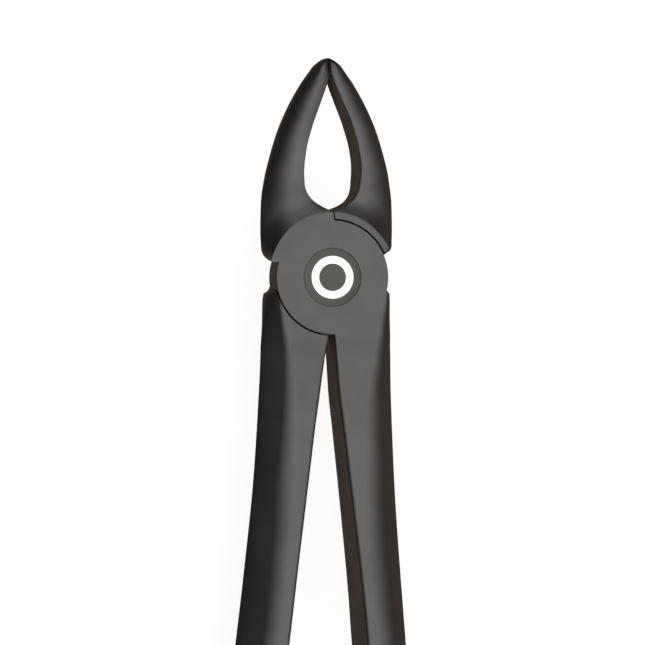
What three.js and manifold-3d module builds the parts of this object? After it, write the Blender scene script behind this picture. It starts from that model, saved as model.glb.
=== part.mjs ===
// Dental extraction forceps for upper roots, with a lap joint.
//
// Two crossing forgings turn on a countersunk screw. The front half is the left jaw, the front layer of
// the joint and the right handle. The rear half is the right jaw, the rear layer and the left handle.
//
// Frame, in millimetres: the pivot axis is Z, the joint's rear face is z = 0 and its front face is
// z = JOINT_THICKNESS, +Y runs to the tips of the jaws and +X is the right-hand side seen from the front.

import * as THREE from 'three';
import { mergeVertices } from 'three/addons/utils/BufferGeometryUtils.js';
import Module from 'manifold-3d';

const wasm = await Module();
wasm.setup();

// ---------------------------------------------------------------- driving dimensions
const JOINT_THICKNESS = 10.5;       // front face to rear face of the joint
const JAW_LENGTH = 36.4;            // pivot axis to the tips
const HANDLE_LENGTH = 138.6;        // pivot axis to the ends of the handles
const DISC_RADIUS = 9.42;           // each half's round layer in the joint
const WEB_RADIUS = 9.9;             // the rear half's round layer, a little wider to close the fork
const RUNNING_GAP = 0.3;            // between the two halves, in the seams and between the layers
const BOSS_RADIUS = 10.7;           // edge of the flat face on the jaws, in front
const BACK_BOSS_RADIUS = 10;        // and at the rear
const MATING_GAP = 0.15;            // half of the gap between the closed tips

const LEFT_JAW_END = 2.5;           // y where the left jaw stops above its notch
const RIGHT_JAW_END = 3.75;         // y where the right jaw stops above its notch
const LEFT_END_ROUND = 2.3;         // radius of the left jaw's lower end, under the boss
const RIGHT_END_ROUND = 0.8;        // radius of the right jaw's
const SHOULDER_START = 1.5;         // distance below the pivot where each handle starts
const SHOULDER_LENGTH = 1.2;        // over which the handle widens to its full width
const JAW_TIP_ROUND = 1.6;          // length of the rounded end of a jaw
const HANDLE_END_ROUND = 5.5;       // length of the rounded end of a handle

const SCREW_HEAD_RADIUS = 4.8;
const SCREW_HEAD_RIM = 1.2;         // height of the head's cylindrical rim
const SCREW_HEAD_CONE = 1.6;        // height of the cone under the rim
const SCREW_SHANK_RADIUS = 2.5;
const NUT_RADIUS = 4.1;
const NUT_HEIGHT = 1.8;
const FIT_GAP = 0.2;                // around the screw's head and the nut
const SHANK_GAP = 0.1;              // around the screw's shank
const HEAD_DEPTH = 0.05;            // the head's face sits this far below the joint's front face

const ROUND_SEGMENTS = 72;
const MIDDLE = JOINT_THICKNESS / 2;

// ---------------------------------------------------------------- smooth profiles
// A smooth curve through [station, value] points, which never overshoots between them.
function profile(points) {
  const n = points.length;
  const steps = points.slice(1).map((p, i) => p[0] - points[i][0]);
  const slopes = steps.map((step, i) => (points[i + 1][1] - points[i][1]) / step);
  const tangents = points.map((_, i) => {
    if (i === 0) return slopes[0];
    if (i === n - 1) return slopes[n - 2];
    const [a, b] = [slopes[i - 1], slopes[i]];
    return a * b <= 0 ? 0 : (2 * a * b) / (a + b);
  });
  return (s) => {
    if (s <= points[0][0]) return points[0][1];
    if (s >= points[n - 1][0]) return points[n - 1][1];
    const i = steps.findIndex((_, k) => s < points[k + 1][0]);
    const [h, u] = [steps[i], (s - points[i][0]) / steps[i]];
    const [u2, u3] = [u * u, u * u * u];
    return points[i][1] * (2 * u3 - 3 * u2 + 1) + points[i + 1][1] * (3 * u2 - 2 * u3)
      + h * (tangents[i] * (u3 - 2 * u2 + u) + tangents[i + 1] * (u3 - u2));
  };
}

// 1 along a part, falling to 0 as a quarter circle over its last `length`.
const roundedEnd = (s, end, length) => {
  const t = Math.min(1, Math.max(0, (s - (end - length)) / length));
  return Math.sqrt(1 - t * t);
};

// ---------------------------------------------------------------- jaws: s is y
const CROTCH = 10.9;                                        // foot of the gap between the jaws
const jawGap = profile([[CROTCH, 0], [11.1, 0.5], [11.9, 2.15], [12.75, 3.35], [14, 4.28], [15.2, 4.65],
  [17.4, 4.8], [21, 4.43], [25.1, 3.31], [29.3, 1.68], [31.8, 0.7], [32.8, 0.4],
  [34.2, MATING_GAP], [JAW_LENGTH, MATING_GAP]]);
const gapShift = profile([[CROTCH, 0], [12.5, 0.35], [15.2, 0.12], [19, 0.09], [29, 0.08],
  [33, 0]]);                                                // the gap lies this far to the right
const jawOuter = profile([[2, 10.8], [8, 11.16], [12.4, 11.06], [16.4, 10.51], [20.3, 9.56], [24.3, 8.31],
  [28.3, 6.56], [32.2, 4.36], [34.3, 2.85], [JAW_LENGTH, 1.32]]);
const OUTER_SHIFT = 0.06;                                   // the jaws' outer sides lie this far right
const jawCrest = profile([[2, 5.8], [12, 6.1], [17.7, 5.9], [21, 5.25], [25, 4.5], [29.3, 2.85],
  [32.6, 1.5], [JAW_LENGTH, 0.6]]);                         // x of the highest line along a jaw
const jawFront = profile([[11, 4.6], [13, 4.3], [16, 4.85], [19, 5.1], [25, 5.05], [29.3, 4.5],
  [32.6, 4.15], [JAW_LENGTH, 3.5]]);                        // height of the crest before the mid-plane
const crestShift = profile([[18, 0], [24, 0.3], [JAW_LENGTH, 0.3]]);        // both crests lie a little left
const jawDip = profile([[11, 0.4], [14, 0.7], [18.5, 0]]);  // the right jaw lies lower beside the boss
const jawBack = profile([[11, 4.2], [13, 3.6], [16, 3.6], [20, 2.8], [25, 2.7], [29.3, 2.5],
  [32.6, 2.0], [JAW_LENGTH, 1.7]]);                         // height of the rear behind the mid-plane

function jawInner(s, side, seam) {
  if (s <= CROTCH) return seam;
  return Math.max(s < JAW_LENGTH / 2 ? seam : MATING_GAP, jawGap(s) + side * gapShift(s));
}

// Half the width of a boss at height s, or 0 above it.
const bossReach = (radius, s) => (s < radius ? Math.sqrt(radius ** 2 - s * s) : 0);

function jawSection(s, side, seam, end, round) {
  const inner = jawInner(s, side, seam);
  const corner = Math.min(1, Math.max(0, (end + round - s) / round));
  const close = roundedEnd(s, JAW_LENGTH, JAW_TIP_ROUND);
  const outer = inner + (jawOuter(s) + side * OUTER_SHIFT - inner) * close;
  const crest = inner + (jawCrest(s) - side * crestShift(s) - inner) * close;
  const thin = 0.3 + 0.7 * close;
  const front = { reach: bossReach(BOSS_RADIUS, s), height: jawFront(s) - (side > 0 ? jawDip(s) : 0) };
  const back = { reach: bossReach(BACK_BOSS_RADIUS, s), height: jawBack(s) };
  const [frontPart, backPart] = [front, back].map(({ reach, height }) => ({
    flat: Math.min(Math.max(reach, crest), outer - 0.2 * close),
    height: (reach ? MIDDLE : height) * thin,
  }));
  backPart.height *= 1 - 0.8 * corner ** 2;
  return {
    y: s,
    inner,
    outer,
    tuck: round * (1 - Math.sqrt(1 - corner * corner)),
    front: frontPart,
    back: backPart,
    middle: MIDDLE,
    edge: Math.min(0.3, 0.3 * (crest - inner)),
    shoulder: 0,
  };
}

// ---------------------------------------------------------------- handles: s is the distance below the pivot
const FORK = DISC_RADIUS + 0.05;                            // where the handles part below the joint
const OFFSET_FADE = 30;                                     // a handle's own offset fades out over this
const NECK_RADIUS = 9.1;                                    // the handles' width at the notches
const FLAT_SHIFT = 0.35;                                    // the flats' borders lie this far to the right
const handleOuter = profile([[2.7, 10.3], [3.8, 10.5], [6.7, 10.68], [10.7, 10.93], [17, 11.15], [33, 11.97],
  [49, 13.34], [60, 14.42], [80, 16.45], [103, 18.4], [120, 18.7], [HANDLE_LENGTH, 17.4]]);
const outerShift = profile([[3, -0.15], [10.7, -0.15], [13.3, 0.02], [20, 0.3], [29, 0.37], [41, 0.3],
  [60, 0.1], [70, 0]]);                                     // both handles' outer sides lean this far right
const sideSink = profile([[8, 0], [14, 0.8], [20, 1.1], [41, 1.1], [53, 0.9], [60, 0.5],
  [70, 0]]);                                                // a handle is widest this far behind its middle
const handleInner = profile([[FORK, 0.4], [11.3, 0.6], [20, 1.59], [25, 2.32], [43, 4.58], [53, 5.77],
  [60.7, 6.6], [80, 8.75], [103, 10.7], [120, 11.1], [HANDLE_LENGTH, 10.4]]);
const handleFlat = profile([[2, 8.8], [3.75, 8.55], [8.7, 7.6], [13.6, 6.75], [20, 5.9], [28.5, 5.6],
  [40, 5.6], [53, 6.75], [60, 7.7]]);
const handleBackFlat = profile([[1.5, 7.6], [4, 8.0], [12, 7.0]]);     // the rear flat's border at the joint
const handleHalf = profile([[3, MIDDLE], [8, 4.9], [13.3, 4.35], [20, 4.7], [29, 5.15], [41, 5.7],
  [53, 6.35], [60.5, 6.75], [90, 6.9], [120, 6.3], [HANDLE_LENGTH, 5.6]]);     // half of its thickness
const handleDrop = profile([[3, 0], [9.4, 0], [13.3, 0.85], [20, 1.85], [29, 2.2], [41, 2.25], [53, 2.35],
  [60.5, 2.75], [85, 5.6], [110, 8.7], [HANDLE_LENGTH, 11.4]]);        // its front face below the joint's
const handleShoulder = profile([[3, 0.8], [9, 1.6], [14, 2.3], [20, 3.2], [29, 4.4], [41, 5.4], [53, 4.9],
  [75, 5]]);

function handleSection(s, side, offset) {
  const notch = Math.min(1, Math.max(0, (s - SHOULDER_START) / SHOULDER_LENGTH)) ** 2.2;
  const close = 0.03 + 0.97 * roundedEnd(s, HANDLE_LENGTH, HANDLE_END_ROUND);
  const innerFull = handleInner(s) + offset * Math.max(0, 1 - s / OFFSET_FADE);
  const outerFull = NECK_RADIUS + (handleOuter(s) + side * outerShift(s) - NECK_RADIUS) * notch;
  const centre = (innerFull + outerFull) / 2;
  const halfWidth = ((outerFull - innerFull) / 2) * close;
  const [inner, outer] = [centre - halfWidth, centre + halfWidth];
  const height = handleHalf(s) * close;
  const edge = 0.6 * close;
  const far = outer - Math.min(0.12, 0.2 * halfWidth);
  const flat = Math.min(Math.max(handleFlat(s) + side * FLAT_SHIFT, inner + edge + 0.05 * halfWidth), far);
  return {
    y: -s,
    inner,
    outer,
    front: { flat, height },
    back: { flat: s < 12 ? Math.min(flat, handleBackFlat(s)) : flat, height },
    middle: JOINT_THICKNESS - handleDrop(s) - handleHalf(s),
    edge,
    shoulder: handleShoulder(s),
    sink: sideSink(s),
  };
}

// ---------------------------------------------------------------- solids
// From a flat's border to mid-height: a quarter of an ellipse, or, with a shoulder radius, a round shoulder
// and then a straighter, gently convex side.
const OUTER_STEPS = 6;
const SIDE_TILT = (54 * Math.PI) / 180;                     // how far the shoulder turns
function sideCurve({ flat, height }, outer, shoulder) {
  const points = [];
  if (!shoulder) {
    for (let k = 0; k < OUTER_STEPS; k += 1) {
      const a = (k / OUTER_STEPS) * (Math.PI / 2);
      points.push([flat + (outer - flat) * Math.sin(a), height * Math.cos(a)]);
    }
    return points;
  }
  const radius = Math.min(shoulder, (0.62 * (outer - flat)) / Math.sin(SIDE_TILT), 0.9 * height);
  const arc = (a) => [flat + radius * Math.sin(a), height - radius * (1 - Math.cos(a))];
  const [x, z] = arc(SIDE_TILT);
  const knee = Math.max(z - (outer - x) * Math.tan(SIDE_TILT), 0.15 * z);
  for (let k = 0; k < 3; k += 1) points.push(arc((k / 3) * SIDE_TILT));
  for (let k = 0; k < 3; k += 1) {
    const t = k / 3;
    const blend = (start, middle, end) => start * (1 - t) ** 2 + 2 * middle * t * (1 - t) + end * t * t;
    points.push([blend(x, outer, outer), blend(z, knee, 0)]);
  }
  return points;
}

// The closed outline of one cross-section: a flat inner wall with small round edges, flats on the front
// and the rear, and a convex outer side, drawn in by `tuck` below the front flat and widest `sink` behind
// the middle. `side` is +1 on the right and -1 on the left.
function sectionLoop({ y, inner, outer, front, back, middle, edge, shoulder, tuck = 0, sink = 0 }, side) {
  const half = (part, below) => {
    const rounding = [0, 1, 2].map((t) => {
      const a = (t / 2) * (Math.PI / 2);
      return [inner + edge * (1 - Math.cos(a)), part.height - edge * (1 - Math.sin(a))];
    });
    const flat = Math.min(part.flat, outer - 0.05);
    const convex = sideCurve({ flat, height: part.height + below }, outer, shoulder);
    return [...rounding, ...convex.map(([x, z]) => [x, z - below])];
  };
  const drawn = (x, z) => {
    if (!tuck) return x;
    const under = z > 0 ? 1 - (z / front.height) ** 2 : 1;
    return x - tuck * under * ((x - inner) / (outer - inner)) ** 2;
  };
  const backPoints = half(back, -sink).map(([x, z]) => [x, -z]).reverse();
  return [...half(front, sink), [outer, -sink], ...backPoints]
    .map(([x, z]) => new THREE.Vector3(side * drawn(x, z), y, middle + z));
}

function loft(loops) {
  const [count, rows] = [loops[0].length, loops.length];
  const points = loops.flat();
  const faces = [];
  for (let r = 0; r + 1 < rows; r += 1) {
    for (let k = 0; k < count; k += 1) {
      const [a, b] = [r * count + k, r * count + ((k + 1) % count)];
      faces.push([a, b, b + count], [a, b + count, a + count]);
    }
  }
  for (const [row, turn] of [[0, true], [rows - 1, false]]) {
    const centre = points.length;
    const loop = loops[row];
    points.push(loop.reduce((sum, p) => sum.add(p), new THREE.Vector3()).divideScalar(count));
    for (let k = 0; k < count; k += 1) {
      const [a, b] = [row * count + k, row * count + ((k + 1) % count)];
      faces.push(turn ? [centre, b, a] : [centre, a, b]);
    }
  }
  const geometry = new THREE.BufferGeometry().setFromPoints(points);
  geometry.setIndex(faces.flat());
  return solid(geometry);
}

// A closed three.js geometry as a solid whose faces point out.
function solid(geometry) {
  const bare = geometry.clone();
  bare.deleteAttribute('normal');
  bare.deleteAttribute('uv');
  const merged = mergeVertices(bare, 1e-5);
  const vertProperties = new Float32Array(merged.attributes.position.array);
  const triVerts = new Uint32Array(merged.index.array);
  const made = new wasm.Manifold(new wasm.Mesh({ numProp: 3, vertProperties, triVerts }));
  if (made.volume() > 0) return made;
  for (let i = 0; i < triVerts.length; i += 3) {
    [triVerts[i], triVerts[i + 1]] = [triVerts[i + 1], triVerts[i]];
  }
  return new wasm.Manifold(new wasm.Mesh({ numProp: 3, vertProperties, triVerts }));
}

// A turned piece about the pivot axis from [radius, z] corners, starting and ending on the axis.
function turned(corners, segments = ROUND_SEGMENTS) {
  const lathe = new THREE.LatheGeometry(corners.map(([r, z]) => new THREE.Vector2(r, z)), segments);
  lathe.rotateX(Math.PI / 2);
  return solid(lathe);
}

const cylinder = (radius, low, high) => turned([[0, low], [radius, low], [radius, high], [0, high]]);

function box(low, high) {
  const size = high.map((value, i) => value - low[i]);
  const geometry = new THREE.BoxGeometry(...size);
  geometry.translate(...low.map((value, i) => value + size[i] / 2));
  return solid(geometry);
}

function spread(from, to, steps, shape = (u) => u) {
  return Array.from({ length: steps }, (_, k) => from + (to - from) * shape(k / steps));
}

function jaw(side, seam, end, round) {
  const stations = [
    ...spread(end, end + round, 4, (u) => u ** 1.5),
    ...spread(end + round, CROTCH, 6),
    ...spread(CROTCH, 15, 6, (u) => u ** 1.4),
    ...spread(15, JAW_LENGTH - JAW_TIP_ROUND, 9),
    ...spread(JAW_LENGTH - JAW_TIP_ROUND, JAW_LENGTH, 4, (u) => Math.sin((u * Math.PI) / 2)),
    JAW_LENGTH,
  ];
  return loft(stations.map((s) => sectionLoop(jawSection(s, side, seam, end, round), side)));
}

function handle(side, offset) {
  const tipStart = HANDLE_LENGTH - HANDLE_END_ROUND;
  const stations = [
    ...spread(SHOULDER_START, SHOULDER_START + SHOULDER_LENGTH, 4),
    ...spread(SHOULDER_START + SHOULDER_LENGTH, FORK, 4),
    ...spread(FORK, tipStart, 22),
    ...spread(tipStart, HANDLE_LENGTH, 5, (u) => Math.sin((u * Math.PI) / 2)),
    HANDLE_LENGTH,
  ];
  return loft(stations.map((s) => sectionLoop(handleSection(s, side, offset), side)));
}

// ---------------------------------------------------------------- the two halves
const LAYER_GAP = RUNNING_GAP / 2;
const CUT_PAST = 12;                                        // cutters run this far past the faces

const headSeat = turned([
  [0, -CUT_PAST], [SCREW_SHANK_RADIUS + SHANK_GAP, -CUT_PAST],
  [SCREW_SHANK_RADIUS + SHANK_GAP, JOINT_THICKNESS - SCREW_HEAD_RIM - SCREW_HEAD_CONE - FIT_GAP],
  [SCREW_HEAD_RADIUS + FIT_GAP, JOINT_THICKNESS - SCREW_HEAD_RIM - FIT_GAP],
  [SCREW_HEAD_RADIUS + FIT_GAP, JOINT_THICKNESS + CUT_PAST], [0, JOINT_THICKNESS + CUT_PAST],
]);
const nutSeat = turned([
  [0, -CUT_PAST], [NUT_RADIUS + FIT_GAP, -CUT_PAST], [NUT_RADIUS + FIT_GAP, NUT_HEIGHT + FIT_GAP],
  [SCREW_SHANK_RADIUS + SHANK_GAP, NUT_HEIGHT + FIT_GAP],
  [SCREW_SHANK_RADIUS + SHANK_GAP, JOINT_THICKNESS + CUT_PAST], [0, JOINT_THICKNESS + CUT_PAST],
]);

// The rear half's round layer is rounded off towards the rear where the left notch shows it.
const NOTCH_RADIUS = 9.2;
const RIM_ROUND = { radial: 2.4, axial: 3.6 };
const rimCorners = [0, 1, 2, 3, 4].map((k) => {
  const a = (k / 4) * (Math.PI / 2);
  return [
    NOTCH_RADIUS - RIM_ROUND.radial * (1 - Math.sin(a)),
    RIM_ROUND.axial * (1 - Math.cos(a)),
  ];
});
const roundedDisc = turned([[0, -CUT_PAST], [rimCorners[0][0], -CUT_PAST], ...rimCorners,
  [NOTCH_RADIUS, CUT_PAST], [0, CUT_PAST]]);
const notchRelief = box([-CUT_PAST, -SHOULDER_START - 1, -1], [-4, LEFT_JAW_END + 1.8, MIDDLE])
  .subtract(roundedDisc);

// Where each jaw ends at the short seam above the disc, and how far each handle stands out at the fork.
const LEFT_JAW_SEAM = -0.05;
const RIGHT_JAW_SEAM = LEFT_JAW_SEAM + 0.1 + RUNNING_GAP;
const RIGHT_HANDLE_OFFSET = 0;
const LEFT_HANDLE_OFFSET = 0.45;

function frontHalf() {
  return jaw(-1, LEFT_JAW_SEAM, LEFT_JAW_END, LEFT_END_ROUND)
    .add(handle(1, RIGHT_HANDLE_OFFSET))
    .subtract(cylinder(WEB_RADIUS + RUNNING_GAP, -CUT_PAST, MIDDLE + LAYER_GAP))
    .add(cylinder(DISC_RADIUS, MIDDLE + LAYER_GAP, JOINT_THICKNESS))
    .subtract(headSeat);
}

function rearHalf() {
  return jaw(1, RIGHT_JAW_SEAM, RIGHT_JAW_END, RIGHT_END_ROUND)
    .add(handle(-1, LEFT_HANDLE_OFFSET))
    .subtract(cylinder(DISC_RADIUS + RUNNING_GAP, MIDDLE - LAYER_GAP, JOINT_THICKNESS + CUT_PAST))
    .add(cylinder(WEB_RADIUS, 0, MIDDLE - LAYER_GAP).subtract(notchRelief))
    .subtract(nutSeat);
}

// ---------------------------------------------------------------- the pivot
function pivotScrew() {
  const top = JOINT_THICKNESS - HEAD_DEPTH;
  return turned([
    [0, 0], [SCREW_SHANK_RADIUS, 0],
    [SCREW_SHANK_RADIUS, JOINT_THICKNESS - SCREW_HEAD_RIM - SCREW_HEAD_CONE],
    [SCREW_HEAD_RADIUS, JOINT_THICKNESS - SCREW_HEAD_RIM], [SCREW_HEAD_RADIUS, top], [0, top],
  ], ROUND_SEGMENTS / 2);
}

function pivotNut() {
  const ring = cylinder(NUT_RADIUS, 0, NUT_HEIGHT);
  return ring.subtract(cylinder(SCREW_SHANK_RADIUS + SHANK_GAP, -1, NUT_HEIGHT + 1));
}

// ---------------------------------------------------------------- scene graph
const blackCoat = () => new THREE.MeshStandardMaterial({ color: 0x2b2a29, roughness: 0.42, metalness: 0.6 });
const pivotCoat = () => new THREE.MeshStandardMaterial({ color: 0x302e2b, roughness: 0.5, metalness: 0.6 });

function meshOf(name, manifold, material) {
  const { vertProperties, triVerts } = manifold.getMesh();
  const geometry = new THREE.BufferGeometry();
  geometry.setAttribute('position', new THREE.BufferAttribute(new Float32Array(vertProperties), 3));
  geometry.setIndex(new THREE.BufferAttribute(new Uint32Array(triVerts), 1));
  geometry.computeVertexNormals();
  const mesh = new THREE.Mesh(geometry, material);
  mesh.name = name;
  return mesh;
}

const group = new THREE.Group();
group.add(
  meshOf('front_half', frontHalf(), blackCoat()),
  meshOf('rear_half', rearHalf(), blackCoat()),
  meshOf('pivot_screw', pivotScrew(), pivotCoat()),
  meshOf('pivot_nut', pivotNut(), pivotCoat()),
);

export default group;
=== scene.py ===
"""Dental extraction forceps, closed, on a pale floor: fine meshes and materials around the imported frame.

Shapes are worked out in millimetres in the frame's axes: the pivot is Z, +Y runs to the tips of the jaws
and z = 0 is the joint's rear face. `side` is +1 for the right half of the outline and -1 for the left.
"""
import math

import bpy
import numpy as np
from mathutils import Matrix, Vector


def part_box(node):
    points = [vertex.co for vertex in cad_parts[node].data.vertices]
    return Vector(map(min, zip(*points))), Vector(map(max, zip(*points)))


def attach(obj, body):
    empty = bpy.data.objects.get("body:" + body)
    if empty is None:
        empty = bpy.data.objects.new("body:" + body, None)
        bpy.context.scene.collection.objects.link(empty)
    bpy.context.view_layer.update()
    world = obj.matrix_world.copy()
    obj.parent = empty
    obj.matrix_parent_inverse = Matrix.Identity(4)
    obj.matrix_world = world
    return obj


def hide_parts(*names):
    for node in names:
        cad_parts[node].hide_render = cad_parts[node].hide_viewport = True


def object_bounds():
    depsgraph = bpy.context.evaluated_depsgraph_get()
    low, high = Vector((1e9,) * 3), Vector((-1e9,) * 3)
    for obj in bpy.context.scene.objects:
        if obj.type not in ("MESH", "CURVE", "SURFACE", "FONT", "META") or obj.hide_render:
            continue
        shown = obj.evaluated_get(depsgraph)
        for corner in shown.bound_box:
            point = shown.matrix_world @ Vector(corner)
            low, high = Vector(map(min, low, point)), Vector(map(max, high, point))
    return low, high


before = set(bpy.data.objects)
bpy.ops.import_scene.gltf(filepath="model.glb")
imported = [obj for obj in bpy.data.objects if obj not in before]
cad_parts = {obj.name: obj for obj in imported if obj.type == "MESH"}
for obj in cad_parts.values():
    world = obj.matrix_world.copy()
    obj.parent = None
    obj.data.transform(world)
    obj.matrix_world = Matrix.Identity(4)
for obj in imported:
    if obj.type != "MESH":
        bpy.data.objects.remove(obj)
cad_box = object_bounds()

MM = 0.001


def reach(node):
    """A CAD node's lowest and highest corner, in millimetres."""
    low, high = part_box(node)
    return low / MM, high / MM


# ---------------------------------------------------------------- driving dimensions, from the frame
half_low, half_high = reach("front_half")
_, screw_high = reach("pivot_screw")
_, nut_high = reach("pivot_nut")

JAW_LENGTH = half_high.y
HANDLE_LENGTH = -half_low.y
THICKNESS = half_high.z
MIDDLE = THICKNESS / 2
HEAD_RADIUS = screw_high.x
NUT_RADIUS = nut_high.x
NUT_HEIGHT = nut_high.z

# ---------------------------------------------------------------- driving dimensions of the fine shape
DISC_RADIUS = 9.42                  # the front half's disc
WEB_RADIUS = 9.9                    # the rear half's disc, a little wider to close the fork
SEAM_GAP = 0.22                     # between the front disc's rim and the rear half
WEB_GAP = 0.04                      # between the rear disc's rim and the front half
LAYER_GAP = 0.12                    # between the joint's two layers
BOSS_RADIUS = 10.7                  # the flat boss about the pivot that the jaws rise to in front
MATING_GAP = 0.04                   # from each closed tip to the middle plane
LEFT_JAW_END, RIGHT_JAW_END = 2.5, 3.4            # the jaws' lower ends, above the pivot
LEFT_JAW_CORNER, RIGHT_JAW_CORNER = 2.3, 0.8      # radii of their outer corners
SHOULDER_START, SHOULDER_LENGTH = 1.5, 1.2        # the handles' upper ends, below the pivot
JAW_TIP_ROUND = 1.6                 # length of the rounding at a jaw's tip
HANDLE_END_ROUND = 5.5              # and at a handle's end
END_MARGIN = 0.004                  # the last cross-section stays this far inside the end
EDGE_BREAK = 0.06                   # machined edges are broken this much
SHANK_RADIUS = 2.5                  # the screw's shank
CUT_PAST = 14.0                     # how far cutters reach past the bodies
TURN_STEPS = 192                    # facets of a turned surface


# ---------------------------------------------------------------- smooth profiles
def profile(points):
    """A smooth curve through (station, value) points, which never overshoots between them."""
    xs = np.array([p[0] for p in points], float)
    ys = np.array([p[1] for p in points], float)
    steps = np.diff(xs)
    slopes = np.diff(ys) / steps
    tangents = np.zeros(len(xs))
    tangents[0], tangents[-1] = slopes[0], slopes[-1]
    for i in range(1, len(xs) - 1):
        a, b = slopes[i - 1], slopes[i]
        tangents[i] = 0 if a * b <= 0 else 2 * a * b / (a + b)

    def value(s):
        s = min(max(s, xs[0]), xs[-1])
        i = min(int(np.searchsorted(xs, s, side="right")) - 1, len(steps) - 1)
        h, u = steps[i], (s - xs[i]) / steps[i]
        return (
            ys[i] * (2 * u**3 - 3 * u**2 + 1)
            + ys[i + 1] * (3 * u**2 - 2 * u**3)
            + h * (tangents[i] * (u**3 - 2 * u**2 + u) + tangents[i + 1] * (u**3 - u**2))
        )

    return value


def clamp(value):
    """The value, kept between 0 and 1."""
    return min(1.0, max(0.0, value))


def rounded_end(s, end, length):
    """1 along a part, falling to 0 as a quarter circle over its last `length`."""
    return math.sqrt(1 - clamp((s - (end - length)) / length) ** 2)


def ease(value):
    """A smooth step from 0 to 1, for numbers or arrays."""
    t = np.clip(value, 0, 1)
    return t * t * (3 - 2 * t)


# ---------------------------------------------------------------- jaws: s is y
CROTCH = 10.9                       # the foot of the gap between the jaws
SEAM_LEAN = 0.16                    # the short seam under it leans this much per millimetre
jaw_gap = profile([(CROTCH, 0), (11.1, 0.5), (11.9, 2.15), (12.75, 3.35), (14, 4.28), (15.2, 4.65),
                   (17.4, 4.8), (21, 4.43), (25.1, 3.31), (29.3, 1.68), (31.8, 0.7), (32.8, 0.4),
                   (34.2, MATING_GAP), (JAW_LENGTH, MATING_GAP)])
gap_shift = profile([(CROTCH, 0), (12.5, 0.35), (15.2, 0.12), (19, 0.09), (29, 0.08), (33, 0)])
jaw_outer = profile([(2, 10.8), (8, 11.16), (12.4, 11.06), (16.4, 10.51), (20.3, 9.56), (24.3, 8.31),
                     (28.3, 6.56), (32.2, 4.36), (34.3, 2.85), (JAW_LENGTH, 1.32)])
OUTER_SHIFT = 0.06                  # the jaws' outer sides lie a little to the right
jaw_crest = profile([(2, 5.8), (12, 6.1), (17.7, 5.9), (21, 5.25), (25, 4.5), (29.3, 2.85), (32.6, 1.5),
                     (JAW_LENGTH, 0.6)])
jaw_front = profile([(0, 3.9), (11, 3.95), (13, 4.2), (16, 4.85), (19, 5.1), (25, 5.05), (29.3, 4.5),
                     (32.6, 4.15), (JAW_LENGTH, 3.5)])
jaw_back = profile([(0, 3.6), (16, 3.6), (20, 2.8), (25, 2.7), (29.3, 2.5), (32.6, 2.0), (JAW_LENGTH, 1.7)])
crest_shift = profile([(18, 0), (24, 0.3), (JAW_LENGTH, 0.3)])     # both crests lie a little to the left
jaw_dip = profile([(8, 0.6), (14, 0.7), (18.5, 0)])        # the right jaw lies lower beside the boss
jaw_flank = {-1: profile([(11, 0.9), (12.8, 0.9), (15.2, 0.66), (18, 0.5)]),
             1: profile([(11, 0.65), (12.8, 0.65), (17, 0.5)])}     # 0.5 an ellipse, 1 a parabola
jaw_inner_round = profile([(11, 0.25), (12.7, 0.8), (15.5, 0.5), (20, 0.45), (JAW_LENGTH, 0.7)])
jaw_hollow = profile([(28, 0), (32, 0.35), (34, 0.35), (35.6, 0.1), (JAW_LENGTH, 0)])

TEETH_START, TEETH_END, TEETH_PITCH, TEETH_DEPTH = 30.5, 35.4, 0.8, 0.13
TEETH_FADE_IN, TEETH_FADE_OUT = 1.2, 0.6
BOSS_EDGE_SOFTNESS = 0.08
BOSS_FADE = 0.5                     # the boss sinks away this near a jaw's outer side
BACK_BOSS_RADIUS = 10.0             # the boss on the rear face
BACK_CORNER = 1.1                   # height of a jaw's rear corner, as a multiple of its radius
FILLET_SIDE, FILLET_BACK = 1.6, 4.6     # width of the hollow around the boss, beside it and behind
FILLET_FRONT = {-1: 4.2, 1: 5.0}        # and above it in front, on each side
ELLIPSE = 0.5                       # the flank of a quarter ellipse
STEEPEST_FALL = 0.7                 # limit of the crown's fall towards the gripping wall
WIDEST_EDGE = 0.3                   # limit of the wall's edge radius, as a share of the crown
TIP_HEIGHT = 0.3                    # share of its height that a jaw keeps at its very tip
ROUND_POINTS, CROWN_POINTS, FLANK_POINTS = 9, 60, 200


def jaw_inner(s, side, seam):
    """Where the jaw's gripping wall, or its wall along the short seam, stands."""
    if s <= CROTCH:
        return seam + side * SEAM_LEAN * (CROTCH - s)
    return max(seam if s < JAW_LENGTH / 2 else MATING_GAP, jaw_gap(s) + side * gap_shift(s))


def even_points(curve, count):
    """`count` evenly spaced points along a finely drawn curve, its ends included."""
    lengths = np.concatenate([[0], np.cumsum(np.hypot(*np.diff(curve, axis=0).T))])
    wanted = np.linspace(0, lengths[-1], count)
    return np.column_stack([np.interp(wanted, lengths, curve[:, k]) for k in (0, 1)])


def crowned_curve(inner, crest, outer, half, width, roundness, edge, flank):
    """From the inner wall over a small round edge and the crest down the outer side to mid-height."""
    across = np.linspace(inner + edge, crest, CROWN_POINTS, endpoint=False)
    fall = np.clip(roundness * ((crest - across) / width) ** 2, 0, STEEPEST_FALL)
    inside = np.column_stack([across, half * np.sqrt(1 - fall)])
    a = np.linspace(0, math.pi / 2, ROUND_POINTS)
    rounding = np.column_stack([inner + edge * (1 - np.cos(a)), inside[0, 1] - edge * (1 - np.sin(a))])
    b = np.linspace(0, math.pi / 2, FLANK_POINTS)
    outside = np.column_stack([crest + (outer - crest) * np.sin(b), half * np.cos(b) ** (2 * flank)])
    return np.vstack([rounding[:-1], inside, outside])


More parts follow.
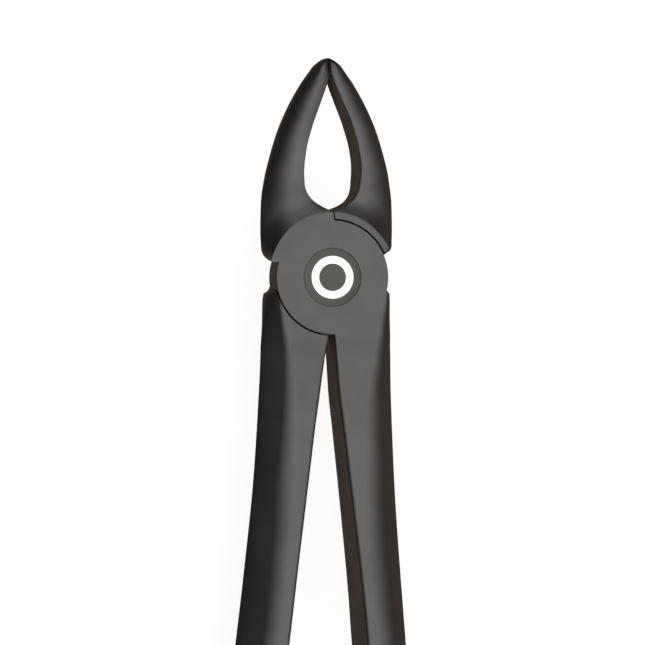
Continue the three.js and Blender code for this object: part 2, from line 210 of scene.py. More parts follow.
def boss_lift(x, s, height, outer, fillet_top, boss_radius):
    """The height, raised to the flat round boss about the pivot, with a hollow fillet around it."""
    radius = np.hypot(x, s)
    upward = np.abs(s / np.maximum(radius, 1e-6))
    fillet = FILLET_SIDE + (fillet_top - FILLET_SIDE) * upward**2
    t = np.maximum(radius - boss_radius, 0)
    t = t * t / (t + BOSS_EDGE_SOFTNESS)
    near_boss = (1 - np.clip(t / fillet, 0, 1)) ** 2
    side = np.clip((outer - x) / BOSS_FADE, 0, 1)
    near_boss = near_boss * np.sqrt(1 - (1 - side) ** 2)
    return np.where(near_boss >= 1, MIDDLE, height + (MIDDLE - height) * near_boss)


JAW_COLUMNS, WALL_COLUMNS = 84, 15


def jaw_loop(s, side, seam, end, corner_radius, edge_radius):
    """A jaw's cross-section at height s: a closed loop of (x, height above the middle), and y."""
    inner = jaw_inner(s, side, seam)
    corner = clamp((end + corner_radius - s) / corner_radius)
    rounding = corner_radius * (1 - math.sqrt(1 - corner * corner))
    back_corner = clamp((end + BACK_CORNER * corner_radius - s) / (BACK_CORNER * corner_radius))
    close = rounded_end(s, JAW_LENGTH, JAW_TIP_ROUND)
    outer = inner + (jaw_outer(s) + side * OUTER_SHIFT - inner) * close
    crest = inner + (jaw_crest(s) - side * crest_shift(s) - inner) * close
    width = jaw_outer(s) - jaw_crest(s)
    edge = min(edge_radius if s > CROTCH + 1 else EDGE_BREAK, WIDEST_EDGE * (crest - inner))
    front_half_height = jaw_front(s) - (jaw_dip(s) if side > 0 else 0)
    sides = []
    for half, fillet, boss, is_front in (
        (front_half_height, FILLET_FRONT[side], BOSS_RADIUS, True),
        (jaw_back(s), FILLET_BACK, BACK_BOSS_RADIUS, False),
    ):
        half *= TIP_HEIGHT + (1 - TIP_HEIGHT) * close
        flank = jaw_flank[side](s) if is_front else ELLIPSE
        curve = crowned_curve(inner, crest, outer, half, width, jaw_inner_round(s), edge, flank)
        x, z = even_points(curve, JAW_COLUMNS).T
        if s < boss + fillet:
            z = boss_lift(x, s, z, outer, fillet, boss)
        # the lower end is rounded off, under the boss in front and wholly at the rear
        under = 1 - (z / MIDDLE) ** 2 if is_front else 1
        if not is_front:
            z = z * (1 - back_corner**2)
        x = x - rounding * under * ease((x - crest) / (outer - crest))
        sides.append((x, z))
    (front_x, front_z), (back_x, back_z) = sides
    # the gripping face: hollowed across its height near the tip, with fine cross teeth
    across = np.linspace(-1, 1, WALL_COLUMNS + 2)[1:-1]
    hollow = min(jaw_hollow(s), 0.5 * (outer - inner)) * (1 - across**2)
    tooth = abs((s / TEETH_PITCH) % 1 - 0.5) * 2
    fade = ease((s - TEETH_START) / TEETH_FADE_IN) * ease((TEETH_END - s) / TEETH_FADE_OUT)
    wall_x = inner + hollow + TEETH_DEPTH * tooth * fade * (1 - across**6)
    wall_z = (front_z[0] - back_z[0]) / 2 + across * (front_z[0] + back_z[0]) / 2
    loop = np.vstack([
        np.column_stack([front_x, front_z]),
        np.column_stack([back_x, -back_z])[::-1][1:],
        np.column_stack([wall_x, wall_z]),
    ])
    return loop, s


# ---------------------------------------------------------------- handles: s is the distance below the pivot
FORK = DISC_RADIUS + 0.05           # where the handles part
OFFSET_FADE = 30                    # an inner wall's offset fades out over this length
NECK_RADIUS = 9.1                   # the handles' width at the notches
handle_outer = profile([(2.7, 10.3), (3.8, 10.5), (6.7, 10.68), (10.7, 10.93), (17, 11.15), (33, 11.97),
                        (49, 13.34), (60, 14.42), (80, 16.45), (103, 18.4), (120, 18.7),
                        (HANDLE_LENGTH, 17.4)])
# both handles' outer sides lean this far to the right, and are widest this far behind their middle
outer_shift = profile([(3, -0.15), (10.7, -0.15), (13.3, 0.02), (20, 0.3), (29, 0.37), (41, 0.3),
                       (60, 0.1), (70, 0)])
side_sink = profile([(8, 0), (14, 0.8), (20, 1.1), (41, 1.1), (53, 0.9), (60, 0.5), (70, 0)])
handle_inner = profile([(FORK, 0.4), (11.3, 0.6), (20, 1.59), (25, 2.32), (43, 4.58), (53, 5.77),
                        (60.7, 6.6), (80, 8.75), (103, 10.7), (120, 11.1), (HANDLE_LENGTH, 10.4)])
handle_flat = profile([(2, 8.8), (3.75, 8.55), (8.7, 7.6), (13.6, 6.75), (20, 5.9), (28.5, 5.6), (40, 5.6),
                       (53, 6.75), (60, 7.7)])
handle_back_flat = profile([(1.5, 7.6), (4, 8.0), (12, 7.0)])      # the rear flat's border near the joint
handle_half = profile([(3, MIDDLE), (8, 4.9), (13.3, 4.35), (20, 4.7), (29, 5.15), (41, 5.7), (53, 6.35),
                       (60.5, 6.75), (90, 6.9), (120, 6.3), (HANDLE_LENGTH, 5.6)])
handle_drop = profile([(3, 0), (9.4, 0), (13.3, 0.85), (20, 1.85), (29, 2.2), (41, 2.25), (53, 2.35),
                       (60.5, 2.75), (85, 5.6), (110, 8.7), (HANDLE_LENGTH, 11.4)])   # below the joint
handle_edge = profile([(FORK, EDGE_BREAK), (13, 0.4), (20, 0.62), (60, 0.62), (HANDLE_LENGTH, 0.8)])
handle_shoulder = profile([(3, 0.8), (9, 1.6), (14, 2.3), (20, 3.2), (29, 4.4), (41, 5.4), (53, 4.9),
                           (75, 5)])
SIDE_TILT = math.radians(54)        # how far the shoulder turns before the straighter side
SHOULDER_ROOM, SHOULDER_HEIGHT = 0.62, 0.9    # its largest radius, as shares of the room it has
LOWEST_KNEE = 0.15                  # the straighter side's bend stays this high, as a share
SHOULDER_CONTRAST = 0.1             # the right handle's front shoulder is rounder, the left one's tighter
BACK_SHOULDER = 1.4                 # smallest shoulder of the rear
NOTCH_CURVE = 2.2                   # how the side turns out of the notch under the joint
END_WIDTH = 0.03                    # share of its width that a handle keeps at its very end
SIDE_MARGIN, SIDE_SHARE = 0.12, 0.2     # the flats stop this far, or this share, short of the side
LEAST_FLAT = 0.05                   # smallest flat, as a share of the half width
SHIFT_START, SHIFT_LENGTH = 8, 6    # the flats' full shift sets in here, and half of it above
BACK_FLAT_END = 12                  # from here on the rear flat is as wide as the front one

GRIP_START, GRIP_END, GRIP_PITCH = 68.0, 131.0, 1.75
GRIP_DEPTH, GRIP_GROOVE = 0.3, 0.42     # the groove's width is a share of its pitch
GRIP_RUN_OUT = 2.5                  # the grooves fade out over this length
GRIP_BORDER, GRIP_FADE = 0.12, 0.08     # and across the side, as shares of it
RIB_COLUMNS, RIBS = 8, 12
FLAT_COLUMNS, EDGE_COLUMNS, CURVE_POINTS = 12, 9, 60


def groove(phase):
    """Depth, 0 to 1, of V-shaped grooves at whole values of phase."""
    distance = np.abs(phase - np.round(phase))
    return np.clip(1 - distance / (GRIP_GROOVE / 2), 0, 1)


def side_curve(flat, outer, half, shoulder, count):
    """From the flat over a round shoulder and down a gently convex side to mid-height."""
    shoulder = min(shoulder, SHOULDER_ROOM * (outer - flat) / math.sin(SIDE_TILT), SHOULDER_HEIGHT * half)
    a = np.linspace(0, SIDE_TILT, CURVE_POINTS, endpoint=False)
    round_part = np.column_stack([flat + shoulder * np.sin(a), half - shoulder * (1 - np.cos(a))])
    start = np.array([flat + shoulder * math.sin(SIDE_TILT), half - shoulder * (1 - math.cos(SIDE_TILT))])
    knee_height = max(start[1] - (outer - start[0]) * math.tan(SIDE_TILT), LOWEST_KNEE * start[1])
    knee = np.array([outer, knee_height])
    t = np.linspace(0, 1, CURVE_POINTS)[:, None]
    side_part = start * (1 - t) ** 2 + 2 * knee * t * (1 - t) + np.array([outer, 0.0]) * t**2
    return even_points(np.vstack([round_part, side_part]), count)


def handle_loop(s, side, offset, flat_shift):
    """A handle's cross-section s below the pivot: a closed loop of (x, height above the middle), and y."""
    close = END_WIDTH + (1 - END_WIDTH) * rounded_end(s, HANDLE_LENGTH, HANDLE_END_ROUND)
    inner = handle_inner(s) + offset * max(0, 1 - s / OFFSET_FADE)
    notch = clamp((s - SHOULDER_START) / SHOULDER_LENGTH) ** NOTCH_CURVE
    outer = NECK_RADIUS + (handle_outer(s) + side * outer_shift(s) - NECK_RADIUS) * notch
    centre, half_width = (inner + outer) / 2, (outer - inner) / 2 * close
    inner, outer = centre - half_width, centre + half_width
    half = handle_half(s) * close
    edge = handle_edge(s) * close
    far = outer - min(SIDE_MARGIN, SIDE_SHARE * half_width)
    shift = flat_shift * (0.5 + 0.5 * float(ease((s - SHIFT_START) / SHIFT_LENGTH)))
    front_flat = min(max(handle_flat(s) + shift, inner + edge + LEAST_FLAT * half_width), far)
    back_flat = min(front_flat, handle_back_flat(s)) if s < BACK_FLAT_END else front_flat
    a = np.linspace(0, math.pi / 2, EDGE_COLUMNS)
    rounding = np.column_stack([inner + edge * (1 - np.cos(a)), half - edge * (1 - np.sin(a))])
    steps = np.linspace(0, 1, FLAT_COLUMNS + 1)[1:-1, None]
    start, mirror = np.array([inner + edge, half]), np.array([1, -1])
    flats = [start + (np.array([flat, half]) - start) * steps for flat in (front_flat, back_flat)]
    columns = RIBS * RIB_COLUMNS // 2 + 1
    sink = side_sink(s)
    front_shoulder = handle_shoulder(s) * (1 + SHOULDER_CONTRAST * side)
    back_shoulder = max(handle_shoulder(s), BACK_SHOULDER)
    upper = side_curve(front_flat, outer, half + sink, front_shoulder, columns)
    upper[:, 1] -= sink
    lower = side_curve(back_flat, outer, half - sink, back_shoulder, columns)
    lower[:, 1] += sink
    convex = np.vstack([upper, (lower * mirror)[::-1][1:]])
    # the grip: crossed grooves cut into the convex side
    across = np.linspace(0, 1, len(convex))
    patch = ease((s - GRIP_START) / GRIP_RUN_OUT) * ease((GRIP_END - s) / GRIP_RUN_OUT)
    patch = patch * ease((across - GRIP_BORDER) / GRIP_FADE) * ease((1 - GRIP_BORDER - across) / GRIP_FADE)
    cut = GRIP_DEPTH * patch * np.maximum(groove(across * RIBS), groove(s / GRIP_PITCH))
    along = np.gradient(convex, axis=0)
    normal = np.column_stack([-along[:, 1], along[:, 0]])
    normal /= np.linalg.norm(normal, axis=1)[:, None]
    convex = convex - normal * cut[:, None]
    wall_z = np.linspace(-1, 1, WALL_COLUMNS + 2)[1:-1] * (half - edge)
    wall = np.column_stack([np.full(WALL_COLUMNS, inner), wall_z])
    loop = np.vstack([rounding, flats[0], convex, (flats[1] * mirror)[::-1], (rounding * mirror)[::-1], wall])
    loop[:, 1] += MIDDLE - handle_half(s) - handle_drop(s)
    return loop, -s


# ---------------------------------------------------------------- meshes
def mesh_object(name, points, faces):
    """A new object in the scene, from corner points and faces."""
    mesh = bpy.data.meshes.new(name)
    mesh.from_pydata([tuple(p) for p in points], [], faces)
    mesh.validate()
    made = bpy.data.objects.new(name, mesh)
    bpy.context.scene.collection.objects.link(made)
    return made


def signed_volume(points, faces):
    """The enclosed volume, negative where the faces point inwards."""
    total = 0.0
    for face in faces:
        a = points[face[0]]
        for b, c in zip(face[1:-1], face[2:]):
            total += float(np.dot(a, np.cross(points[b], points[c])))
    return total / 6


def loft(name, rows, side):
    """A closed body through cross-sections, each a loop of (x, height) and its y."""
    count = len(rows[0][0])
    points = np.vstack([
        np.column_stack([side * loop[:, 0], np.full(count, y), MIDDLE + loop[:, 1]]) for loop, y in rows
    ])
    faces = []
    for row in range(len(rows) - 1):
        base = row * count
        faces += [(base + k, base + (k + 1) % count, base + count + (k + 1) % count, base + count + k)
                  for k in range(count)]
    last = (len(rows) - 1) * count
    faces.append(tuple(range(count))[::-1])
    faces.append(tuple(range(last, last + count)))
    if signed_volume(points, faces) < 0:
        faces = [face[::-1] for face in faces]
    return mesh_object(name, points, faces)


def turned(name, corners, steps=TURN_STEPS):
    """A body of revolution about the pivot from (radius, z) corners, closed by a flat disc at both ends."""
    angles = np.linspace(0, 2 * math.pi, steps, endpoint=False)
    points = [(r * math.cos(a), r * math.sin(a), z) for r, z in corners for a in angles]
    faces = []
    for ring in range(len(corners) - 1):
        base = ring * steps
        faces += [(base + k, base + (k + 1) % steps, base + steps + (k + 1) % steps, base + steps + k)
                  for k in range(steps)]
    faces.append(tuple(range(steps))[::-1])
    faces.append(tuple(range((len(corners) - 1) * steps, len(corners) * steps)))
    return mesh_object(name, points, faces)


def ring_body(name, corners):
    """A closed ring about the pivot from a closed loop of (radius, z) corners."""
    count = len(corners)
    angles = np.linspace(0, 2 * math.pi, TURN_STEPS, endpoint=False)
    points = np.array([(r * math.cos(a), r * math.sin(a), z) for a in angles for r, z in corners])
    faces = []
    for k in range(TURN_STEPS):
        base, after = k * count, ((k + 1) % TURN_STEPS) * count
        faces += [(base + c, base + (c + 1) % count, after + (c + 1) % count, after + c)
                  for c in range(count)]
    if signed_volume(points, faces) < 0:
        faces = [face[::-1] for face in faces]
    return mesh_object(name, points, faces)


def block(name, low, high):
    """A box between two corners, used as a cutter."""
    corners = [(x, y, z) for x in (low[0], high[0]) for y in (low[1], high[1]) for z in (low[2], high[2])]
    faces = [(0, 1, 3, 2), (4, 6, 7, 5), (0, 4, 5, 1), (2, 3, 7, 6), (0, 2, 6, 4), (1, 5, 7, 3)]
    return mesh_object(name, corners, faces)


def combine(body, operation, tool):
    """Joins, cuts or intersects body with tool, and removes the tool."""
    change = body.modifiers.new("cut", "BOOLEAN")
    change.operation = operation
    change.solver = "MANIFOLD"
    change.object = tool
    bpy.context.view_layer.update()
    done = bpy.data.meshes.new_from_object(body.evaluated_get(bpy.context.evaluated_depsgraph_get()))
    body.modifiers.remove(change)
    body.data = done
    bpy.data.objects.remove(tool)
    return body


def spread(start, end, spacing):
    """Stations from start up to, not including, end, about `spacing` apart."""
    count = max(1, math.ceil((end - start) / spacing))
    return [start + (end - start) * k / count for k in range(count)]


def closing(start, end, count):
    """Stations from start to end that draw together towards the end."""
    return [start + (end - start) * math.sin(k / count * math.pi / 2) for k in range(count)] + [end]


def jaw(name, side, seam, end, corner_radius, edge_radius):
    """One jaw, from its lower end beside the joint to its tip."""
    stations = (
        spread(end, end + corner_radius, 0.1)
        + spread(end + corner_radius, CROTCH, 0.16)
        + spread(CROTCH, 12.0, 0.08)
        + spread(12.0, TEETH_START, 0.22)
        + spread(TEETH_START, JAW_LENGTH - JAW_TIP_ROUND, TEETH_PITCH / 8)
        + closing(JAW_LENGTH - JAW_TIP_ROUND, JAW_LENGTH - END_MARGIN, 20)
    )
    return loft(name, [jaw_loop(s, side, seam, end, corner_radius, edge_radius) for s in stations], side)


def handle(name, side, offset, flat_shift):
    """One handle, from its shoulder beside the joint to its end."""
    tip_start = HANDLE_LENGTH - HANDLE_END_ROUND
    stations = (
        spread(SHOULDER_START, SHOULDER_START + SHOULDER_LENGTH, 0.1)
        + spread(SHOULDER_START + SHOULDER_LENGTH, 16, 0.3)
        + spread(16, GRIP_START, 0.7)
        + spread(GRIP_START, GRIP_END, GRIP_PITCH / 12)
        + spread(GRIP_END, tip_start, 0.4)
        + closing(tip_start, HANDLE_LENGTH - END_MARGIN, 30)
    )
    return loft(name, [handle_loop(s, side, offset, flat_shift) for s in stations], side)


# ---------------------------------------------------------------- the two halves
LAYER = LAYER_GAP / 2               # from the middle to each of the joint's layers
SEAM_PLACE = 0.05                   # the seam above the disc lies this far to the right
LEFT_JAW_EDGE, RIGHT_JAW_EDGE = 0.12, 0.4     # radii of the gripping walls' long edges
LEFT_HANDLE_OFFSET = 0.45           # the left handle's inner wall stands this far off, below the disc
FLAT_SHIFT = 0.4                    # both handles' flats reach this far to the right
HEAD_RIM, HEAD_CONE = 1.2, 1.6      # heights of the screw head's rim and cone
FIT, LIP = 0.02, 0.04               # play around the screw and nut, and their seats' edge break
NOTCH_RADIUS = 9.2                  # the rear disc's radius in the left notch
RIM_RADIAL, RIM_AXIAL = 2.4, 3.6    # and the rounding of its rear rim there
RIM_POINTS = 17
NOTCH_INNER, NOTCH_RISE = 4, 1.8    # how near the pivot and how far above the jaw's end that reaches
END_CORNER = Vector((8.7, 3.65, 0))     # the right jaw's lower end passes through here
END_SLANT, END_CHAMFER = math.radians(37), 0.35     # its slant, and its front edge's chamfer


def recess(name, radius, low, high, mouth):
    """The cutter of a round recess that opens in the face at height `mouth`, where its edge is broken."""
    flared = radius + 2 * EDGE_BREAK
    if mouth > MIDDLE:
        rim = [(radius, low), (radius, mouth - EDGE_BREAK), (flared, mouth + EDGE_BREAK), (flared, high)]
    else:
        rim = [(flared, low), (flared, mouth - EDGE_BREAK), (radius, mouth + EDGE_BREAK), (radius, high)]
    return turned(name, rim)


def front_half():
    """Left jaw, front disc and right handle, with the recess for the rear disc and the screw's seat."""
    body = jaw("front_half_fine", -1, -SEAM_PLACE, LEFT_JAW_END, LEFT_JAW_CORNER, LEFT_JAW_EDGE)
    combine(body, "UNION", handle("handle", 1, 0, FLAT_SHIFT))
    combine(body, "DIFFERENCE", recess("recess", WEB_RADIUS + WEB_GAP, -CUT_PAST, MIDDLE + LAYER, 0))
    disc = turned("disc", [
        (DISC_RADIUS - EDGE_BREAK, MIDDLE + LAYER), (DISC_RADIUS, MIDDLE + LAYER + EDGE_BREAK),
        (DISC_RADIUS, THICKNESS - EDGE_BREAK), (DISC_RADIUS - EDGE_BREAK, THICKNESS),
    ])
    combine(body, "UNION", disc)
    seat_top = THICKNESS - HEAD_RIM
    seat = turned("head_seat", [
        (SHANK_RADIUS + FIT, -CUT_PAST), (SHANK_RADIUS + FIT, seat_top - HEAD_CONE - FIT),
        (HEAD_RADIUS + FIT, seat_top - FIT), (HEAD_RADIUS + FIT, THICKNESS - LIP),
        (HEAD_RADIUS + FIT + 2 * LIP, THICKNESS + LIP), (HEAD_RADIUS + FIT + 2 * LIP, CUT_PAST),
    ])
    return combine(body, "DIFFERENCE", seat)


def slanted_end(body):
    """Cuts the right jaw's lower end on a slant, with a chamfer along its front edge."""
    for tilt, height in ((0, -1), (math.radians(45), THICKNESS - END_CHAMFER)):
        cutter = block("cutter", (-2, -8, 0), (12, 0, 30))
        cutter.data.transform(
            Matrix.Translation(END_CORNER + Vector((0, 0, height)))
            @ Matrix.Rotation(END_SLANT, 4, "Z") @ Matrix.Rotation(-tilt, 4, "X")
        )
        combine(body, "DIFFERENCE", cutter)


def rear_half():
    """Right jaw, rear disc and left handle, with the recess for the front disc and the nut's seat."""
    seam = SEAM_PLACE + SEAM_GAP
    body = jaw("rear_half_fine", 1, seam, RIGHT_JAW_END, RIGHT_JAW_CORNER, RIGHT_JAW_EDGE)
    slanted_end(body)
    combine(body, "UNION", handle("handle", -1, LEFT_HANDLE_OFFSET, -FLAT_SHIFT))
    combine(body, "DIFFERENCE", recess("recess", DISC_RADIUS + SEAM_GAP, MIDDLE - LAYER, CUT_PAST, THICKNESS))
    disc = turned("disc", [
        (WEB_RADIUS - EDGE_BREAK, 0), (WEB_RADIUS, EDGE_BREAK),
        (WEB_RADIUS, MIDDLE - LAYER - EDGE_BREAK), (WEB_RADIUS - EDGE_BREAK, MIDDLE - LAYER),
    ])
    # the disc's rear rim is rounded off where the left notch shows it
    turns = np.linspace(0, math.pi / 2, RIM_POINTS)
    rim = [(NOTCH_RADIUS - RIM_RADIAL * (1 - math.sin(a)), RIM_AXIAL * (1 - math.cos(a))) for a in turns]
    kept = turned("kept", [(rim[0][0], -CUT_PAST), *rim, (NOTCH_RADIUS, CUT_PAST)])
    notch_top = (-NOTCH_INNER, LEFT_JAW_END + NOTCH_RISE, MIDDLE)
    relief = block("relief", (-CUT_PAST, -SHOULDER_START - 1, -1), notch_top)
    combine(relief, "DIFFERENCE", kept)
    combine(disc, "DIFFERENCE", relief)
    combine(body, "UNION", disc)
    seat = turned("nut_seat", [
        (NUT_RADIUS + FIT + 2 * LIP, -CUT_PAST), (NUT_RADIUS + FIT + 2 * LIP, -LIP),
        (NUT_RADIUS + FIT, LIP), (NUT_RADIUS + FIT, NUT_HEIGHT + FIT),
        (SHANK_RADIUS + FIT, NUT_HEIGHT + FIT), (SHANK_RADIUS + FIT, CUT_PAST),
    ])
    return combine(body, "DIFFERENCE", seat)


# ---------------------------------------------------------------- the pivot
HEAD_TOP = screw_high.z
HEAD_EDGE = 0.05                    # edge break of the head and the nut
SHANK_CHAMFER = 0.2
RING_OUTER, RING_INNER, RING_GROOVE = 3.55, 2.25, 0.06
RING_PLAY, RING_SINK = 0.01, 0.005  # between ring and groove, and below the head's face
SPANNER_RADIUS, SPANNER_DEPTH, SPANNER_PLACE = 0.34, 0.9, 3.35
SPANNER_STEPS = 48


def pivot_screw():
    """The countersunk screw, with a shallow groove in its head for the ring."""
    seat_top = THICKNESS - HEAD_RIM
    body = turned("pivot_screw_fine", [
        (SHANK_RADIUS - SHANK_CHAMFER, 0), (SHANK_RADIUS, SHANK_CHAMFER),
        (SHANK_RADIUS, seat_top - HEAD_CONE), (HEAD_RADIUS, seat_top),
        (HEAD_RADIUS, HEAD_TOP - HEAD_EDGE), (HEAD_RADIUS - 0.4 * HEAD_EDGE, HEAD_TOP - 0.3 * HEAD_EDGE),
        (HEAD_RADIUS - HEAD_EDGE, HEAD_TOP),
    ])
    groove_cut = ring_body("groove", [
        (RING_INNER, HEAD_TOP - RING_GROOVE), (RING_OUTER, HEAD_TOP - RING_GROOVE),
        (RING_OUTER, HEAD_TOP + 1), (RING_INNER, HEAD_TOP + 1),
    ])
    return combine(body, "DIFFERENCE", groove_cut)


def pivot_ring():
    """The white enamel ring that fills the groove in the screw's head."""
    low, high, play = HEAD_TOP - RING_GROOVE, HEAD_TOP - RING_SINK, RING_PLAY
    return ring_body("pivot_ring", [
        (RING_INNER + play, low), (RING_OUTER - play, low),
        (RING_OUTER - play, high - play), (RING_OUTER - 3 * play, high),
        (RING_INNER + 3 * play, high), (RING_INNER + play, high - play),
    ])


def pivot_nut():
    """The round nut, flush in the rear face, with two holes for a pin spanner."""
    bore = SHANK_RADIUS + FIT
    body = ring_body("pivot_nut_fine", [
        (bore, HEAD_EDGE), (bore + HEAD_EDGE, 0), (NUT_RADIUS - HEAD_EDGE, 0), (NUT_RADIUS, HEAD_EDGE),
        (NUT_RADIUS, NUT_HEIGHT), (bore, NUT_HEIGHT),
    ])
    for side in (-1, 1):
        hole = turned("spanner_hole", [(SPANNER_RADIUS, -1), (SPANNER_RADIUS, SPANNER_DEPTH)], SPANNER_STEPS)
        hole.data.transform(Matrix.Translation((side * SPANNER_PLACE, 0, 0)))
        combine(body, "DIFFERENCE", hole)
    return body


# ---------------------------------------------------------------- materials
def new_material(name):
    """A material with its nodes, links, shader and the object's own coordinates."""
    material = bpy.data.materials.new(name)
    material.use_nodes = True
    nodes, links = material.node_tree.nodes, material.node_tree.links
    place = nodes.new("ShaderNodeTexCoord").outputs["Object"]
    return material, nodes, links, nodes["Principled BSDF"], place


def noise(nodes, links, coordinates, scale, detail, roughness=0.55):
    """Soft random values from 0 to 1."""
    node = nodes.new("ShaderNodeTexNoise")
    node.inputs["Scale"].default_value = scale
    node.inputs["Detail"].default_value = detail
    node.inputs["Roughness"].default_value = roughness
    links.new(coordinates, node.inputs["Vector"])
    return node.outputs["Fac"]


NOISE_LOW, NOISE_HIGH = 0.3, 0.7    # most of a noise's values lie between these


def ramp(nodes, links, factor, low, high):
    """A colour between two, by a noise."""
    node = nodes.new("ShaderNodeValToRGB")
    for element, position, colour in zip(node.color_ramp.elements, (NOISE_LOW, NOISE_HIGH), (low, high)):
        element.position = position
        element.color = (*colour, 1)
    links.new(factor, node.inputs["Fac"])
    return node.outputs["Color"]


def bump(nodes, links, height, strength, distance, shader):
    """Fine relief on a shader's normal; `distance` is in metres."""
    node = nodes.new("ShaderNodeBump")
    node.inputs["Strength"].default_value = strength
    node.inputs["Distance"].default_value = distance
    links.new(height, node.inputs["Height"])
    links.new(node.outputs["Normal"], shader.inputs["Normal"])


def coated_steel(name, low, high, rough_low, rough_high):
    """Satin black coating on steel: cloudy tone, uneven gloss and a fine blasted grain."""
    material, nodes, links, shader, place = new_material(name)
    clouds = noise(nodes, links, place, scale=90, detail=4)
    links.new(ramp(nodes, links, clouds, low, high), shader.inputs["Base Color"])
    gloss = noise(nodes, links, place, scale=240, detail=5, roughness=0.6)
    spread_gloss = nodes.new("ShaderNodeMapRange")
    spread_gloss.inputs["From Min"].default_value = NOISE_LOW
    spread_gloss.inputs["From Max"].default_value = NOISE_HIGH
    spread_gloss.inputs["To Min"].default_value = rough_low
    spread_gloss.inputs["To Max"].default_value = rough_high
    links.new(gloss, spread_gloss.inputs["Value"])
    links.new(spread_gloss.outputs["Result"], shader.inputs["Roughness"])
    grain = noise(nodes, links, place, scale=4200, detail=2, roughness=0.5)
    bump(nodes, links, grain, 0.12, 0.00003, shader)
    shader.inputs["Metallic"].default_value = 0.85
    shader.inputs["Specular IOR Level"].default_value = 0.4
    return material


def white_enamel():
    """White enamel with a faintly uneven tone and surface."""
    material, nodes, links, shader, place = new_material("white_enamel")
    tone = noise(nodes, links, place, scale=900, detail=3)
    links.new(ramp(nodes, links, tone, (0.86, 0.86, 0.85), (0.93, 0.93, 0.92)), shader.inputs["Base Color"])
    wave = noise(nodes, links, place, scale=1500, detail=2)
    bump(nodes, links, wave, 0.2, 0.00002, shader)
    shader.inputs["Roughness"].default_value = 0.4
    return material


SHARP_ANGLE = math.radians(28)


def finish_piece(piece, material, body, node):
    """Metres, crease marks, material, and the piece's place in the frame."""
    piece.data.transform(Matrix.Scale(MM, 4))
    piece.data.materials.clear()
    piece.data.materials.append(material)
    piece.data.shade_smooth()
    piece.data.set_sharp_from_angle(angle=SHARP_ANGLE)
    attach(piece, body)
    if node:
        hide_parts(node)


halves_coat = coated_steel("halves_coat", (0.070, 0.070, 0.070), (0.079, 0.079, 0.079), 0.32, 0.40)
pivot_coat = coated_steel("pivot_coat", (0.061, 0.059, 0.055), (0.068, 0.066, 0.062), 0.38, 0.46)

finish_piece(front_half(), halves_coat, "front_body", "front_half")
finish_piece(rear_half(), halves_coat, "rear_body", "rear_half")
finish_piece(pivot_screw(), pivot_coat, "rear_body", "pivot_screw")
finish_piece(pivot_nut(), pivot_coat, "rear_body", "pivot_nut")
finish_piece(pivot_ring(), white_enamel(), "rear_body", None)


# ---------------------------------------------------------------- floor, light and camera
FLOOR_REACH, FLOOR_DROP = 4.0, 0.0004     # metres: half the floor's side, and its gap below the object


def floor():
    """A pale floor just under the object, which casts no light on it and isn't mirrored in it."""
    low, _ = cad_box
    reach_out, z = FLOOR_REACH, low.z - FLOOR_DROP
    corners = [(x * reach_out, y * reach_out, z) for x, y in ((-1, -1), (1, -1), (1, 1), (-1, 1))]
    plane = mesh_object("floor", corners, [(0, 1, 2, 3)])
    material = bpy.data.materials.new("pale_floor")
    material.use_nodes = True
    shader = material.node_tree.nodes["Principled BSDF"]
    shader.inputs["Base Color"].default_value = (0.16, 0.16, 0.16, 1)
    shader.inputs["Roughness"].default_value = 0.9
    shader.inputs["Emission Color"].default_value = (0.86, 0.86, 0.86, 1)
    shader.inputs["Emission Strength"].default_value = 1.0
    plane.data.materials.append(material)
    plane.visible_glossy = False
    plane.visible_diffuse = False


VIEW_TILT = math.radians(12)        # the camera stands this far to the left of the front face's normal
VIEW_DISTANCE, VIEW_WIDTH = 0.75, 0.10642       # metres: to the object, and what the picture spans there
AIM_LEFT, AIM_DOWN = 0.00168, 0.00746           # metres: the picture's middle from the pivot


def camera():
    """A long lens over the front face."""
    data = bpy.data.cameras.new("camera")
    data.sensor_width = 36
    data.lens = data.sensor_width * VIEW_DISTANCE / VIEW_WIDTH
    data.clip_start, data.clip_end = 0.01, 50
    made = bpy.data.objects.new("camera", data)
    bpy.context.scene.collection.objects.link(made)
    back = Vector((-math.sin(VIEW_TILT), 0, math.cos(VIEW_TILT)))
    right = Vector((math.cos(VIEW_TILT), 0, math.sin(VIEW_TILT)))
    up = Vector((0, 1, 0))
    pivot = Vector((0, 0, THICKNESS * MM))
    place = pivot - right * AIM_LEFT - up * AIM_DOWN + back * VIEW_DISTANCE
    made.matrix_world = Matrix((
        (right.x, up.x, back.x, place.x),
        (right.y, up.y, back.y, place.y),
        (right.z, up.z, back.z, place.z),
        (0, 0, 0, 1),
    ))
    bpy.context.scene.camera = made


def glow(nodes, links, direction, towards, stops):
    """A soft round patch of light: (cosine of the angle from `towards`, colour) stops."""
    cosine = nodes.new("ShaderNodeVectorMath")
    cosine.operation = "DOT_PRODUCT"
    cosine.inputs[1].default_value = Vector(towards).normalized()
    links.new(direction, cosine.inputs[0])
    shifted = nodes.new("ShaderNodeMapRange")
    shifted.inputs["From Min"].default_value = -1
    links.new(cosine.outputs["Value"], shifted.inputs["Value"])
    fall_node = nodes.new("ShaderNodeValToRGB")
    fall = fall_node.color_ramp
    fall.interpolation = "LINEAR"
    while len(fall.elements) < len(stops):
        fall.elements.new(0.5)
    for element, (cosine_value, colour) in zip(fall.elements, stops):
        element.position = (cosine_value + 1) / 2
        element.color = (*colour, 1)
    links.new(shifted.outputs["Result"], fall_node.inputs["Fac"])
    return fall_node.outputs["Color"]


BLACK = (0, 0, 0)
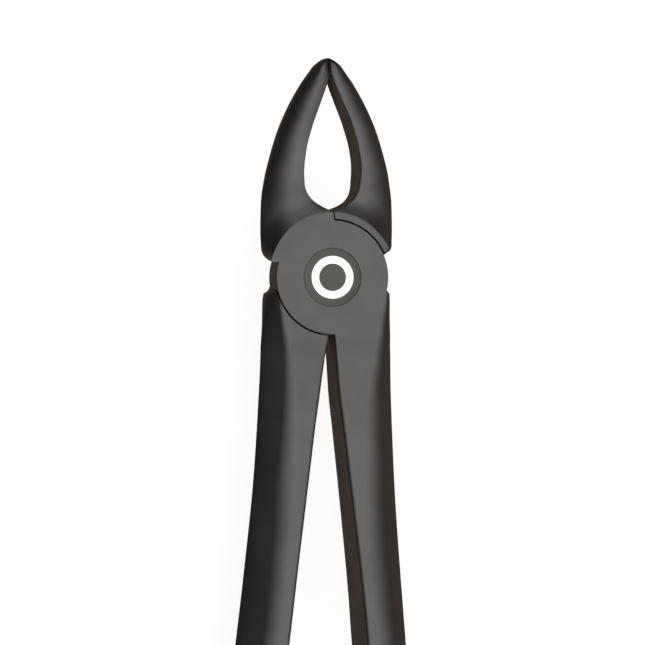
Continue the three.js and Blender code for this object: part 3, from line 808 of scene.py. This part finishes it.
# the overhead light's brightness by the cosine of the angle from straight up
KEY_FALL = (
    (-0.3, (0.022, 0.018, 0.014)),
    (0.0, (0.078, 0.065, 0.054)),
    (0.25, (0.20, 0.183, 0.167)),
    (0.5, (0.37, 0.36, 0.35)),
    (0.8, (0.66, 0.66, 0.66)),
    (0.98, (1.0, 1.0, 1.0)),
)
# direction, cosines where it starts and is full, colour
SIDE_GLOWS = (
    ((-0.21, 0, -0.98), 0.85, 1.0, (0.06, 0.05, 0.042)),
    ((0.94, 0, -0.34), 0.7, 1.0, (0.065, 0.055, 0.047)),
    ((0, -1, 0.45), 0.78, 0.97, (0.55, 0.55, 0.55)),
    ((0, 1, 0.35), 0.84, 0.98, (0.25, 0.25, 0.25)),
)
LIGHT_STRENGTH = 2.0
BACKDROP = (0.97, 0.97, 0.97)       # what the camera sees past the floor


def softbox_world():
    """A wide soft light overhead and dimmer ones at both ends, on the right and below."""
    world = bpy.data.worlds.new("studio")
    bpy.context.scene.world = world
    world.use_nodes = True
    nodes, links = world.node_tree.nodes, world.node_tree.links
    nodes.clear()
    out = nodes.new("ShaderNodeOutputWorld")
    direction = nodes.new("ShaderNodeTexCoord").outputs["Generated"]
    total = glow(nodes, links, direction, (0, 0, 1), KEY_FALL)
    for towards, start, end, colour in SIDE_GLOWS:
        add = nodes.new("ShaderNodeVectorMath")
        add.operation = "ADD"
        links.new(total, add.inputs[0])
        links.new(glow(nodes, links, direction, towards, ((start, BLACK), (end, colour))), add.inputs[1])
        total = add.outputs["Vector"]
    light = nodes.new("ShaderNodeBackground")
    light.inputs["Strength"].default_value = LIGHT_STRENGTH
    links.new(total, light.inputs["Color"])
    seen = nodes.new("ShaderNodeBackground")
    seen.inputs["Color"].default_value = (*BACKDROP, 1)
    path = nodes.new("ShaderNodeLightPath")
    choose = nodes.new("ShaderNodeMixShader")
    links.new(path.outputs["Is Camera Ray"], choose.inputs["Fac"])
    links.new(light.outputs["Background"], choose.inputs[1])
    links.new(seen.outputs["Background"], choose.inputs[2])
    links.new(choose.outputs["Shader"], out.inputs["Surface"])


floor()
camera()
softbox_world()
bpy.context.scene.view_settings.view_transform = "Standard"
